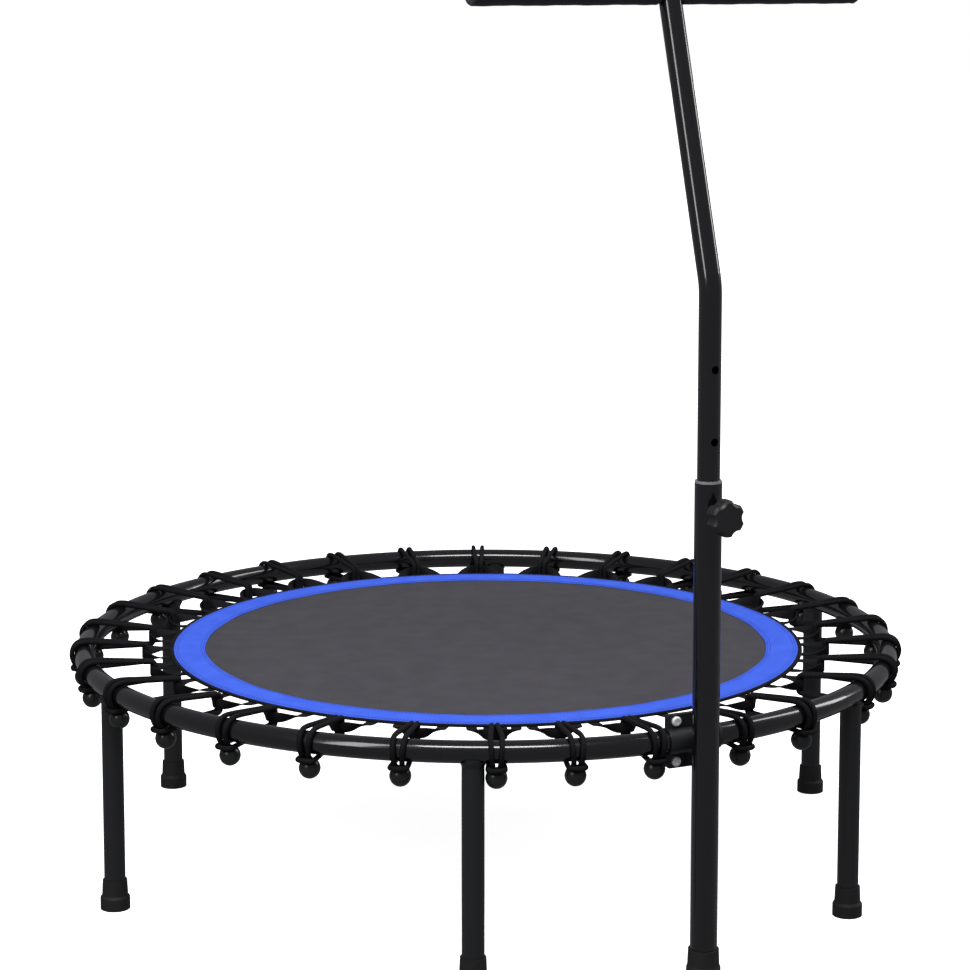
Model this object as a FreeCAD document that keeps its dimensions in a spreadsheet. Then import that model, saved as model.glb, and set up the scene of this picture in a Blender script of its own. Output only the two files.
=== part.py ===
"""Mini trampoline with a height-adjustable T-handle.

The frame is a ring of six plug-together tube sections on six screw-on legs.
Thirty elastic loops, each closed by a ball, tie the round mat to the ring.
A post clamped to the ring carries a cranked handle that slides in it, and
a star knob on a short screw locks the height.

Row frame: +Z up, origin on the floor in the middle of the outer box, the
handle on the -Y side. Azimuths run anticlockwise seen from above, from -Y.
Lengths are millimetres and angles are degrees.
"""
import FreeCAD, Part

import math
import os

import Sketcher

os.makedirs("parts", exist_ok=True)
doc = FreeCAD.newDocument("mini_trampoline")
Vector = FreeCAD.Vector
UP = Vector(0, 0, 1)


# ---------------------------------------------------------------- sizes

class Size:
    """A length or angle that carries its value and the formula behind it."""

    def __init__(self, value, text):
        self.value = float(value)
        self.text = text

    def combine(self, other, sign, value):
        return Size(value, "(%s %s %s)" % (self.text, sign, as_size(other).text))

    def __add__(self, other):
        return self.combine(other, "+", self.value + as_size(other).value)

    def __radd__(self, other):
        return as_size(other) + self

    def __sub__(self, other):
        return self.combine(other, "-", self.value - as_size(other).value)

    def __rsub__(self, other):
        return as_size(other) - self

    def __mul__(self, other):
        return self.combine(other, "*", self.value * as_size(other).value)

    def __rmul__(self, other):
        return as_size(other) * self

    def __truediv__(self, other):
        return self.combine(other, "/", self.value / as_size(other).value)

    def __neg__(self):
        return Size(-self.value, "(0 - %s)" % self.text)


def as_size(number):
    return number if isinstance(number, Size) else Size(number, repr(float(number)))


def sine(angle):
    return Size(math.sin(math.radians(angle.value)), "sin(%s * 1 deg)" % angle.text)


def cosine(angle):
    return Size(math.cos(math.radians(angle.value)), "cos(%s * 1 deg)" % angle.text)


def tangent(angle):
    return Size(math.tan(math.radians(angle.value)), "tan(%s * 1 deg)" % angle.text)


sheet = doc.addObject("Spreadsheet::Sheet", "Sizes")
sheet_rows = [0]


def driving(name, value):
    """Write one driving dimension to the sheet and hand it back."""
    sheet_rows[0] += 1
    row = str(sheet_rows[0])
    sheet.set("A" + row, name)
    sheet.set("B" + row, str(value))
    sheet.setAlias("B" + row, name)
    return Size(value, "Sizes." + name)


# Ring frame
section_count = 6
ring_radius = driving("ring_radius", 497.5)
ring_height = driving("ring_height", 264)
ring_tube = driving("ring_tube", 25)
tube_wall = driving("tube_wall", 1.5)
seam_gap = driving("seam_gap", 0.04)
seam_before_leg = driving("seam_before_leg", 3.8)
spigot_angle = driving("spigot_angle", 5)
spigot_play = driving("spigot_play", 0.1)
shoulder_angle = driving("shoulder_angle", 0.8)

# Legs
leg_before_post = driving("leg_before_post", 28.5)
leg_diameter = driving("leg_diameter", 25)
socket_drop = driving("socket_drop", 13)
socket_bore = driving("socket_bore", 10.2)
stud_diameter = driving("stud_diameter", 10)
stud_length = driving("stud_length", 11)
leg_disc = driving("leg_disc", 3)
weld_flare = driving("weld_flare", 3)
foot_sole = driving("foot_sole", 4)
foot_height = driving("foot_height", 35)
foot_base_height = driving("foot_base_height", 14)
foot_base_diameter = driving("foot_base_diameter", 35)
foot_neck_wall = driving("foot_neck_wall", 2)
foot_round = driving("foot_round", 2.5)
foot_shoulder_width = driving("foot_shoulder_width", 0.8)
foot_shoulder_height = driving("foot_shoulder_height", 3)

# Mat
mat_radius = driving("mat_radius", 394)
mat_thickness = driving("mat_thickness", 1.8)
mat_under = driving("mat_under", 262.5)
mat_pressed = driving("mat_pressed", 0.3)
mat_step_clear = driving("mat_step_clear", 0.5)
band_outer = driving("band_outer", 389)
band_inner = driving("band_inner", 349)
band_thickness = driving("band_thickness", 1)

# Elastic loops
loop_count = 30
loops_in_node = loop_count // section_count
loop_after_leg = driving("loop_after_leg", 2.9)
post_loop_2 = driving("post_loop_2", 12.8)
post_loop_3 = driving("post_loop_3", 23.23)
post_loop_4 = driving("post_loop_4", 36)
post_loop_5 = driving("post_loop_5", 47.3)
cord_diameter = driving("cord_diameter", 6)
cord_clear = driving("cord_clear", 0.2)
ball_diameter = driving("ball_diameter", 24)
ball_drop = driving("ball_drop", 28.4)
strand_spread = driving("strand_spread", 6.5)
strand_close = driving("strand_close", 3.1)
bight_spread = driving("bight_spread", 10.8)
bight_reach = driving("bight_reach", 16)
cord_end_out = driving("cord_end_out", 2)
cord_end_drop = driving("cord_end_drop", 20)
tube_bend_share = driving("tube_bend_share", 0.97)
eye_bend = driving("eye_bend", 5)
bight_bend = driving("bight_bend", 8.5)
eye_reach = driving("eye_reach", 75)
eye_top = driving("eye_top", 9)
eye_bottom = driving("eye_bottom", -11)
webbing_width = driving("webbing_width", 12)
webbing_thickness = driving("webbing_thickness", 1.5)
webbing_tip = driving("webbing_tip", 426.8)
webbing_tip_half = driving("webbing_tip_half", 8.5)
webbing_tip_drop = driving("webbing_tip_drop", 1)
webbing_edge_half = driving("webbing_edge_half", 25)
webbing_sewn = driving("webbing_sewn", 30)

# Post and its clamp on the ring
plate_thickness = driving("plate_thickness", 2.5)
plate_half_gap = driving("plate_half_gap", 0.5)
plate_height = driving("plate_height", 60)
plate_half_angle = driving("plate_half_angle", 3.68)
plate_corner = driving("plate_corner", 4)
bolt_half_angle = driving("bolt_half_angle", 2.42)
bolt_rise = driving("bolt_rise", 22.5)
bolt_diameter = driving("bolt_diameter", 6)
bolt_head_diameter = driving("bolt_head_diameter", 11)
bolt_head_height = driving("bolt_head_height", 3.6)
bolt_length = driving("bolt_length", 16)
nut_across = driving("nut_across", 10)
nut_height = driving("nut_height", 5)
nut_seat = driving("nut_seat", 0.05)
bolt_dome_share = driving("bolt_dome_share", 0.6)
bolt_slot_share = driving("bolt_slot_share", 0.55)
bolt_slot_width = driving("bolt_slot_width", 1.3)
bolt_slot_depth = driving("bolt_slot_depth", 1)
weld_width = driving("weld_width", 16)
weld_rise = driving("weld_rise", 20)
post_diameter = driving("post_diameter", 30)
post_top = driving("post_top", 554)
post_foot_height = driving("post_foot_height", 35)
post_foot_diameter = driving("post_foot_diameter", 38)
bushing_lip = driving("bushing_lip", 2.5)
bushing_depth = driving("bushing_depth", 27)
running_play = driving("running_play", 0.1)

# Handle
handle_diameter = driving("handle_diameter", 25)
handle_bottom = driving("handle_bottom", 400)
handle_bend_height = driving("handle_bend_height", 766)
handle_bend_radius = driving("handle_bend_radius", 75)
handle_lean = driving("handle_lean", 16.5)
crossbar_height = driving("crossbar_height", 1077.5)
crossbar_diameter = driving("crossbar_diameter", 25)
crossbar_length = driving("crossbar_length", 468)
grip_diameter = driving("grip_diameter", 33)
grip_gap = driving("grip_gap", 27)
grip_end = driving("grip_end", 6)
grip_round = driving("grip_round", 3)
height_hole_diameter = driving("height_hole_diameter", 9)
height_step = driving("height_step", 78)
guide_plug_height = driving("guide_plug_height", 18)

# Height lock
lock_height = driving("lock_height", 521)
lock_nut_diameter = driving("lock_nut_diameter", 16)
lock_nut_reach = driving("lock_nut_reach", 21)
lock_screw_diameter = driving("lock_screw_diameter", 8)
lock_screw_tip = driving("lock_screw_tip", 12.8)
lock_screw_bevel = driving("lock_screw_bevel", 1)
screw_hole_play = driving("screw_hole_play", 0.3)
knob_cap = driving("knob_cap", 6)
knob_inner = driving("knob_inner", 22)
knob_hub_diameter = driving("knob_hub_diameter", 22)
knob_hub_height = driving("knob_hub_height", 6)
knob_diameter = driving("knob_diameter", 40)
knob_reach = driving("knob_reach", 44)
knob_lobes = 6
knob_scallop = driving("knob_scallop", 9)
knob_scallop_centre = driving("knob_scallop_centre", 26)
knob_chamfer = driving("knob_chamfer", 2.5)

# Sizes that follow from the ones above
post_radius = ring_radius + ring_tube / 2 + plate_thickness + post_diameter / 2
wrap_radius = ring_tube / 2 + cord_diameter / 2 + cord_clear
wrap_reach = ring_radius + wrap_radius + cord_diameter / 2
centre_y = (post_radius + knob_reach - wrap_reach) / 2
crossbar_radius = post_radius - (crossbar_height - handle_bend_height) * tangent(handle_lean)


# ---------------------------------------------------------------- helpers

def bind(thing, properties):
    """Drive each named property of an object by a sheet formula."""
    for name, size in properties.items():
        thing.setExpression(name, as_size(size).text)


def put(thing, azimuth=0, radius=0, height=0, turned=True):
    """Place an object by azimuth and radius about the ring's axis."""
    azimuth = as_size(azimuth)
    radius = as_size(radius)
    base_x = radius * sine(azimuth)
    base_y = centre_y - radius * cosine(azimuth)
    base_z = as_size(height)
    turn = azimuth.value if turned else 0
    base = Vector(base_x.value, base_y.value, base_z.value)
    thing.Placement = FreeCAD.Placement(base, FreeCAD.Rotation(UP, turn))
    bind(thing, {".Placement.Base.x": base_x, ".Placement.Base.y": base_y, ".Placement.Base.z": base_z})
    if turned:
        bind(thing, {".Placement.Rotation.Angle": azimuth})


def new_body(label):
    body = doc.addObject("PartDesign::Body", label)
    body.Label = label
    return body


def new_sketch(body, plane, name):
    """Start a sketch on one of the body's own origin planes."""
    sketch = body.newObject("Sketcher::SketchObject", name)
    for feature in body.Origin.OriginFeatures:
        if feature.Role == plane:
            sketch.AttachmentSupport = (feature, "")
    sketch.MapMode = "FlatFace"
    return sketch


def fix(sketch, kind, geometry, corner, size):
    """Hold a point of the sketch at a formula's distance from the origin."""
    size = as_size(size)
    if abs(size.value) < 1e-9:
        axis = -2 if kind == "DistanceX" else -1
        sketch.addConstraint(Sketcher.Constraint("PointOnObject", geometry, corner, axis))
        return
    if size.value > 0:
        ends = (-1, 1, geometry, corner)
    else:
        ends = (geometry, corner, -1, 1)
        size = -size
    index = sketch.addConstraint(Sketcher.Constraint(kind, *ends, size.value))
    sketch.setExpression("Constraints[%d]" % index, size.text)


def add_circle(sketch, x, y, radius):
    """Draw a circle whose centre and radius follow formulas."""
    x, y, radius = as_size(x), as_size(y), as_size(radius)
    centre = Vector(x.value, y.value, 0)
    circle = sketch.addGeometry(Part.Circle(centre, UP, radius.value), False)
    fix(sketch, "DistanceX", circle, 3, x)
    fix(sketch, "DistanceY", circle, 3, y)
    index = sketch.addConstraint(Sketcher.Constraint("Radius", circle, radius.value))
    sketch.setExpression("Constraints[%d]" % index, radius.text)
    return circle


def add_outline(sketch, points):
    """Draw a closed outline of straight lines through formula points."""
    values = [Vector(as_size(x).value, as_size(y).value, 0) for x, y in points]
    lines = []
    for start, end in zip(values, values[1:] + values[:1]):
        lines.append(sketch.addGeometry(Part.LineSegment(start, end), False))
    for line, following in zip(lines, lines[1:] + lines[:1]):
        sketch.addConstraint(Sketcher.Constraint("Coincident", line, 2, following, 1))
    for line, (x, y) in zip(lines, points):
        fix(sketch, "DistanceX", line, 1, x)
        fix(sketch, "DistanceY", line, 1, y)


def revolve(body, sketch, name, angle=360, reverse=False, middle=False):
    """Sweep a sketch round the body's vertical axis."""
    turn = body.newObject("PartDesign::Revolution", name)
    turn.Profile = sketch
    turn.ReferenceAxis = (sketch, ["V_Axis"])
    turn.Reversed = reverse
    turn.Midplane = middle
    bind(turn, {"Angle": angle})
    sketch.Visibility = False
    return turn


def turned_part(label, outline):
    """Make a lathe part: an outline of radius and height, turned once round."""
    body = new_body(label)
    sketch = new_sketch(body, "XZ_Plane", label + "_outline")
    add_outline(sketch, outline)
    revolve(body, sketch, label + "_turn")
    return body


def chosen_edges(body, wanted):
    """The body's tip, and the names of the edges that the test picks out."""
    doc.recompute()
    tip = body.Tip
    return tip, ["Edge%d" % n for n, edge in enumerate(tip.Shape.Edges, 1) if wanted(edge)]


def round_edges(body, name, radius, wanted):
    """Fillet the edges of the body's tip that the test picks out."""
    base = chosen_edges(body, wanted)
    fillet = body.newObject("PartDesign::Fillet", name)
    fillet.Base = base
    bind(fillet, {"Radius": radius})


def bevel_edges(body, name, size, wanted):
    """Chamfer the edges of the body's tip that the test picks out."""
    base = chosen_edges(body, wanted)
    chamfer = body.newObject("PartDesign::Chamfer", name)
    chamfer.Base = base
    bind(chamfer, {"Size": size})


def cylinder(name, radius, height, base=(0, 0, 0), axis=UP):
    """A Part cylinder whose sizes and base follow formulas."""
    solid = doc.addObject("Part::Cylinder", name)
    bind(solid, {"Radius": radius, "Height": height})
    x, y, z = (as_size(part) for part in base)
    solid.Placement = FreeCAD.Placement(Vector(x.value, y.value, z.value), FreeCAD.Rotation(UP, axis))
    bind(solid, {".Placement.Base.x": x, ".Placement.Base.y": y, ".Placement.Base.z": z})
    return solid


def boolean(kind, label, base, tool):
    """Join, cut or intersect two Part objects."""
    result = doc.addObject("Part::" + kind, label)
    result.Base = base
    result.Tool = tool
    result.Label = label
    return result


def fixed_shape(label, shape):
    """A sub-part whose shape comes from Part's own functions."""
    feature = doc.addObject("Part::Feature", label)
    feature.Shape = shape
    feature.Label = label
    feature.Placement = FreeCAD.Placement(Vector(0, centre_y.value, 0), FreeCAD.Rotation())
    bind(feature, {".Placement.Base.y": centre_y})
    return feature


def around(azimuth, outward, sideways, height):
    """A point of the ring's frame: from the tube's centre, out, sideways and up."""
    angle = math.radians(azimuth)
    radial = Vector(math.sin(angle), -math.cos(angle), 0)
    lateral = Vector(math.cos(angle), math.sin(angle), 0)
    return (radial * (ring_radius.value + outward) + lateral * sideways
            + UP * (ring_height.value + height))


sub_parts = []


def keep(part):
    sub_parts.append(part)
    return part


# ---------------------------------------------------------------- ring frame

leg_azimuths = [k * 360.0 / section_count - leg_before_post for k in range(section_count)]


def frame_section(number, azimuth):
    """One sixth of the ring: a bent tube with a reduced spigot at one end."""
    body = new_body("frame_section_%d" % number)
    outer = ring_tube / 2
    bore = outer - tube_wall
    spigot = bore - spigot_play
    full_turn = 360.0 / section_count - seam_gap

    tube = new_sketch(body, "XZ_Plane", "section_%d_tube" % number)
    add_circle(tube, ring_radius, ring_height, outer)
    add_circle(tube, ring_radius, ring_height, bore)
    revolve(body, tube, "section_%d_bend" % number, full_turn)

    shoulder = new_sketch(body, "XZ_Plane", "section_%d_shoulder" % number)
    add_circle(shoulder, ring_radius, ring_height, outer - tube_wall / 2)
    add_circle(shoulder, ring_radius, ring_height, spigot - tube_wall)
    revolve(body, shoulder, "section_%d_neck" % number, shoulder_angle)

    plug = new_sketch(body, "XZ_Plane", "section_%d_plug" % number)
    add_circle(plug, ring_radius, ring_height, spigot)
    add_circle(plug, ring_radius, ring_height, spigot - tube_wall)
    revolve(body, plug, "section_%d_spigot" % number, spigot_angle, reverse=True)

    # The sketch plane's +X is azimuth 90, so the section starts a quarter turn earlier.
    put(body, azimuth - seam_before_leg - 90)
    return body


for number, azimuth in enumerate(leg_azimuths, 1):
    keep(frame_section(number, azimuth))


# ---------------------------------------------------------------- legs

def leg_socket(number, azimuth):
    """The short stub welded under the ring, coped to the tube and threaded below."""
    name = "leg_socket_%d" % number
    bottom = ring_height - ring_tube / 2 - socket_drop
    stub = cylinder(name + "_stub", leg_diameter / 2, ring_height - bottom, (0, 0, bottom))
    flare = doc.addObject("Part::Cone", name + "_weld")
    bind(flare, {
        "Radius1": leg_diameter / 2,
        "Radius2": leg_diameter / 2 + weld_flare,
        "Height": weld_flare * 2,
    })
    flare_base = ring_height - ring_tube / 2 - weld_flare
    flare.Placement = FreeCAD.Placement(Vector(0, 0, flare_base.value), FreeCAD.Rotation())
    bind(flare, {".Placement.Base.z": flare_base})
    welded = boolean("Fuse", name + "_blank", stub, flare)

    ring = doc.addObject("Part::Torus", name + "_ring")
    bind(ring, {"Radius1": ring_radius, "Radius2": ring_tube / 2})
    ring.Placement = FreeCAD.Placement(Vector(0, ring_radius.value, ring_height.value), FreeCAD.Rotation())
    bind(ring, {".Placement.Base.y": ring_radius, ".Placement.Base.z": ring_height})
    above = cylinder(name + "_above", ring_tube, ring_tube, (0, 0, ring_height - ring_tube / 4))
    coped = boolean("Cut", name + "_coped", welded, ring)
    trimmed = boolean("Cut", name + "_trimmed", coped, above)

    thread = cylinder(name + "_thread", socket_bore / 2, socket_drop - 1, (0, 0, bottom - 1))
    socket = boolean("Cut", name, trimmed, thread)
    put(socket, azimuth, ring_radius)
    return socket


def leg_tube(number, azimuth):
    """A leg: a tube closed at the top by a disc that carries the threaded stud."""
    top = ring_height - ring_tube / 2 - socket_drop
    outer = leg_diameter / 2
    inner = outer - tube_wall
    body = turned_part("leg_tube_%d" % number, [
        (inner, foot_sole),
        (outer, foot_sole),
        (outer, top),
        (stud_diameter / 2, top),
        (stud_diameter / 2, top + stud_length),
        (0, top + stud_length),
        (0, top - leg_disc),
        (inner, top - leg_disc),
    ])
    put(body, azimuth, ring_radius)
    return body


def rubber_foot(name, tube_diameter, height, base_diameter, neck_wall):
    """A rubber cup over a tube's end: a wide base, a shoulder and a close neck."""
    bore = tube_diameter / 2
    neck = bore + neck_wall
    body = turned_part(name, [
        (0, 0),
        (base_diameter / 2, 0),
        (base_diameter / 2, foot_base_height),
        (neck + foot_shoulder_width, foot_base_height + foot_shoulder_height),
        (neck, height),
        (bore, height),
        (bore, foot_sole),
        (0, foot_sole),
    ])
    shoulder = foot_base_height.value

    def at_shoulder(edge):
        box = edge.BoundBox
        return box.ZLength < 1e-6 and abs(box.ZMin - shoulder) < 1e-6

    round_edges(body, name + "_round", foot_round, at_shoulder)
    return body


for number, azimuth in enumerate(leg_azimuths, 1):
    keep(leg_socket(number, azimuth))
    keep(leg_tube(number, azimuth))
    foot = rubber_foot("leg_foot_%d" % number, leg_diameter, foot_height, foot_base_diameter, foot_neck_wall)
    put(foot, azimuth, ring_radius)
    keep(foot)


# ---------------------------------------------------------------- mat

mat_top = mat_under + mat_thickness
rim_top = mat_top - mat_pressed
rim_step = band_inner - mat_step_clear
mat = turned_part("jumping_mat", [
    (0, mat_under),
    (mat_radius, mat_under),
    (mat_radius, rim_top),
    (rim_step, rim_top),
    (rim_step, mat_top),
    (0, mat_top),
])
put(mat)
keep(mat)

band = turned_part("edge_band", [
    (band_inner, rim_top),
    (band_outer, rim_top),
    (band_outer, mat_top + band_thickness),
    (band_inner, mat_top + band_thickness),
])
put(band)
keep(band)


def flat_section(middle, across, up, width, thickness):
    """A closed rectangle about a point, width along one direction and thickness along another."""
    side = across * (width / 2)
    rise = up * (thickness / 2)
    corners = [middle - side - rise, middle + side - rise, middle + side + rise, middle - side + rise]
    return Part.makePolygon(corners + corners[:1])


def webbing_loop(azimuth):
    """A strap sewn under the mat's edge that stands on edge where the cord passes."""
    width = webbing_width.value
    thickness = webbing_thickness.value
    tip_out = webbing_tip.value - ring_radius.value
    edge_out = mat_radius.value - ring_radius.value
    under = mat_under.value - thickness / 2 - ring_height.value
    drop = -webbing_tip_drop.value
    radial = around(azimuth, 1, 0, 0) - around(azimuth, 0, 0, 0)
    lateral = around(azimuth, 0, 1, 0) - around(azimuth, 0, 0, 0)
    ends = [around(azimuth, tip_out, side * webbing_tip_half.value, drop) for side in (-1, 1)]
    pieces = []
    tip = [flat_section(end, UP, radial, width, thickness) for end in ends]
    pieces.append(Part.makeLoft(tip, True, True))
    for side, end in zip((-1, 1), ends):
        half = side * webbing_edge_half.value
        edge = around(azimuth, edge_out, half, under)
        sewn = around(azimuth, edge_out - webbing_sewn.value, half, under)
        leg = [
            flat_section(end, UP, radial, width, thickness),
            flat_section(edge, lateral * -side, UP, width, thickness),
            flat_section(sewn, lateral * -side, UP, width, thickness),
        ]
        if side < 0:
            leg[0] = flat_section(end, UP * -1, radial, width, thickness)
        pieces.append(Part.makeLoft(leg, True, True))
    return pieces[0].multiFuse(pieces[1:])


# The loops are evenly spaced, but set closer beside the post to leave room for its clamp.
even_places = [loop_after_leg.value + place * 360.0 / loop_count for place in range(loops_in_node)]
post_places = [size.value for size in (loop_after_leg, post_loop_2, post_loop_3, post_loop_4, post_loop_5)]
loop_azimuths = []
for group, leg_azimuth in enumerate(leg_azimuths):
    for place in post_places if group == 0 else even_places:
        loop_azimuths.append(leg_azimuth.value + place)

webbing = Part.makeCompound([webbing_loop(azimuth) for azimuth in loop_azimuths])
keep(fixed_shape("webbing_loops", webbing))


# ---------------------------------------------------------------- elastic loops

def rounded_path(points, radii):
    """Straight runs joined by tangent arcs, as one wire; returns it with its length."""
    edges = []
    length = 0.0
    last = points[0]
    for before, corner, after, radius in zip(points, points[1:], points[2:], radii):
        back = (before - corner).normalize()
        ahead = (after - corner).normalize()
        half = back.getAngle(ahead) / 2
        setback = radius / math.tan(half)
        arc_start = corner + back * setback
        arc_end = corner + ahead * setback
        centre = corner + (back + ahead).normalize() * (radius / math.sin(half))
        middle = centre + (corner - centre).normalize() * radius
        edges.append(Part.LineSegment(last, arc_start).toShape())
        edges.append(Part.Arc(arc_start, middle, arc_end).toShape())
        last = arc_end
    edges.append(Part.LineSegment(last, points[-1]).toShape())
    for edge in edges:
        length += edge.Length
    return Part.Wire(edges), length


def outer_tangent(start, radius, side):
    """Direction from a point to touch a circle about the tube's centre, in the upright plane."""
    distance = math.hypot(*start)
    towards = math.atan2(-start[1], -start[0])
    return towards + side * math.asin(radius / distance)


def cord_route(azimuth):
    """One elastic loop: out of the ball, over the tube, through the eye and back round the ball."""
    wrap = wrap_radius.value
    inside_ball = (cord_end_out.value, -cord_end_drop.value)
    reach = -eye_reach.value
    rise = outer_tangent(inside_ball, wrap, -1)
    low_corner = inside_ball[1] + (wrap - inside_ball[0]) * math.tan(rise)
    over = outer_tangent((reach, eye_top.value), wrap, 1)
    high_corner = eye_top.value + (wrap - reach) * math.tan(over)
    under = outer_tangent((reach, eye_bottom.value), wrap, -1)
    bight_level = eye_bottom.value + (bight_reach.value - reach) * math.tan(under)
    middle_spread = (strand_spread.value + strand_close.value) / 2
    half = [
        (inside_ball[0], strand_close.value, inside_ball[1]),
        (wrap, middle_spread, low_corner),
        (wrap, strand_spread.value, high_corner),
        (reach, strand_close.value, eye_top.value),
        (reach, strand_close.value, eye_bottom.value),
        (bight_reach.value, bight_spread.value, bight_level),
    ]
    there = [around(azimuth, out, sideways, z) for out, sideways, z in half]
    back = [around(azimuth, out, -sideways, z) for out, sideways, z in reversed(half)]
    tube_bend = wrap * tube_bend_share.value
    corner_radii = [tube_bend, tube_bend, eye_bend.value, eye_bend.value, bight_bend.value]
    return there + back, corner_radii + corner_radii[::-1]


def closest_to_itself(path, length):
    """The least distance between two stretches of a cord that are not neighbours."""
    points = path.discretize(Number=int(length))
    apart = int(3 * cord_diameter.value)
    nearest = length
    for first, point in enumerate(points):
        for other in points[first + apart:]:
            nearest = min(nearest, point.distanceToPoint(other))
    return nearest


def sweep_cord(points, radii):
    """A round cord along a rounded path, checked against its volume and against touching itself."""
    path, length = rounded_path(points, radii)
    if closest_to_itself(path, length) < cord_diameter.value:
        raise RuntimeError("an elastic loop runs into itself")
    section = Part.Wire(Part.makeCircle(cord_diameter.value / 2, points[0], points[1] - points[0]))
    cord = path.makePipeShell([section], True, False)
    expected = math.pi * (cord_diameter.value / 2) ** 2 * length
    error = abs(cord.Volume - expected) / expected
    if not cord.isValid() or error > 0.01:
        raise RuntimeError("an elastic loop is %.1f%% off its volume" % (error * 100))
    return cord, length


def ball_at(azimuth, cord):
    """The stop ball under the tube, bored where the two cord ends go in."""
    centre = around(azimuth, 1, 0, -ball_drop.value)
    return Part.makeSphere(ball_diameter.value / 2, centre).cut(cord)


first_azimuth = loop_azimuths[0]
first_cord, cord_length = sweep_cord(*cord_route(first_azimuth))
first_ball = ball_at(first_azimuth, first_cord)
print("each elastic loop is %.1f mm of cord" % cord_length)


def turned_copy(shape, azimuth):
    """The first loop's cord or ball, turned round the ring to another place."""
    copy = shape.copy()
    copy.rotate(Vector(0, 0, 0), UP, azimuth - first_azimuth)
    return copy


cord_groups = []
ball_groups = []
for group in range(section_count):
    azimuths = loop_azimuths[group * loops_in_node:(group + 1) * loops_in_node]
    cord_groups.append(Part.makeCompound([turned_copy(first_cord, azimuth) for azimuth in azimuths]))
    ball_groups.append(Part.makeCompound([turned_copy(first_ball, azimuth) for azimuth in azimuths]))

for number, cords in enumerate(cord_groups, 1):
    keep(fixed_shape("elastic_loops_%d" % number, cords))
for number, balls in enumerate(ball_groups, 1):
    keep(fixed_shape("stop_balls_%d" % number, balls))


# ---------------------------------------------------------------- clamp and post

def clamp_plate(label, side):
    """A pressed half shell round the ring tube, with a bolting tab above and below."""
    inner = ring_tube.value / 2
    outer = inner + plate_thickness.value
    gap = plate_half_gap.value
    tab = gap + plate_thickness.value
    half = plate_height.value / 2
    radius = ring_radius.value
    level = ring_height.value
    inner_z = math.sqrt(inner ** 2 - gap ** 2)
    outer_z = math.sqrt(outer ** 2 - tab ** 2)

    def point(out, up):
        return Vector(0, -(radius + side * out), level + up)

    edges = [
        Part.LineSegment(point(gap, -half), point(gap, -inner_z)),
        Part.Arc(point(gap, -inner_z), point(inner, 0), point(gap, inner_z)),
        Part.LineSegment(point(gap, inner_z), point(gap, half)),
        Part.LineSegment(point(gap, half), point(tab, half)),
        Part.LineSegment(point(tab, half), point(tab, outer_z)),
        Part.Arc(point(tab, outer_z), point(outer, 0), point(tab, -outer_z)),
        Part.LineSegment(point(tab, -outer_z), point(tab, -half)),
        Part.LineSegment(point(tab, -half), point(gap, -half)),
    ]
    outline = Part.Face(Part.Wire([edge.toShape() for edge in edges]))
    outline.rotate(Vector(0, 0, 0), UP, -plate_half_angle.value)
    plate = outline.revolve(Vector(0, 0, 0), UP, 2 * plate_half_angle.value)
    for azimuth in (-bolt_half_angle.value, bolt_half_angle.value):
        for rise in (-bolt_rise.value, bolt_rise.value):
            hole = radial_cylinder(azimuth, -20, 40, bolt_diameter.value / 2 + 0.2, rise)
            plate = plate.cut(hole)
    corners = []
    for edge in plate.Edges:
        box = edge.BoundBox
        radial_edge = edge.Length < plate_thickness.value * 1.2 and box.ZLength < 0.01
        if radial_edge and abs(abs(box.ZMin - level) - half) < 0.01:
            corners.append(edge)
    return plate.makeFillet(plate_corner.value, corners)


def radial_cylinder(azimuth, inner_out, length, radius, rise):
    """A cylinder pointing outward from the ring's axis, measured from the tube's centre."""
    start = around(azimuth, inner_out, 0, rise)
    direction = around(azimuth, inner_out + 1, 0, rise) - start
    return Part.makeCylinder(radius, length, start, direction)


post_axis = Vector(0, -post_radius.value, 0)
front_plate = clamp_plate("clamp_plate_front", 1)
weld = Part.makeBox(weld_width.value, post_diameter.value / 2, weld_rise.value)
weld.translate(Vector(-weld_width.value / 2, -post_radius.value, ring_height.value - weld_rise.value / 2))
weld = weld.cut(Part.makeCylinder(post_diameter.value / 2, 1000, post_axis))
ring_core = Part.makeTorus(ring_radius.value, ring_tube.value / 2 + plate_thickness.value / 2)
ring_core.translate(Vector(0, 0, ring_height.value))
front_plate = front_plate.fuse(weld.cut(ring_core)).removeSplitter()
rear_plate = clamp_plate("clamp_plate_rear", -1)
for plate in (front_plate, rear_plate):
    for neighbours in (cord_groups[0], ball_groups[0]):
        if plate.distToShape(neighbours)[0] < cord_clear.value:
            raise RuntimeError("an elastic loop is too close to the clamp")
keep(fixed_shape("clamp_plate_front", front_plate))
keep(fixed_shape("clamp_plate_rear", rear_plate))


def clamp_bolt(azimuth, rise):
    """A domed cross-slot bolt through both plates."""
    tab = plate_half_gap.value + plate_thickness.value
    shank = radial_cylinder(azimuth, tab - bolt_length.value, bolt_length.value, bolt_diameter.value / 2, rise)
    head = radial_cylinder(azimuth, tab, bolt_head_height.value, bolt_head_diameter.value / 2, rise)
    rim = [edge for edge in head.Edges if edge.Curve.TypeId == "Part::GeomCircle"]
    rim.sort(key=lambda edge: edge.CenterOfMass.y)
    head = head.makeFillet(bolt_head_height.value * bolt_dome_share.value, [rim[0]])
    slot_length = bolt_head_diameter.value * bolt_slot_share.value
    slot_width = bolt_slot_width.value
    depth = bolt_slot_depth.value
    for length, width in ((slot_length, slot_width), (slot_width, slot_length)):
        slot = Part.makeBox(length, 2 * depth, width, Vector(-length / 2, -depth, -width / 2))
        slot.rotate(Vector(0, 0, 0), UP, azimuth)
        slot.translate(around(azimuth, tab + bolt_head_height.value, 0, rise))
        head = head.cut(slot)
    return shank.fuse(head).removeSplitter()


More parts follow.
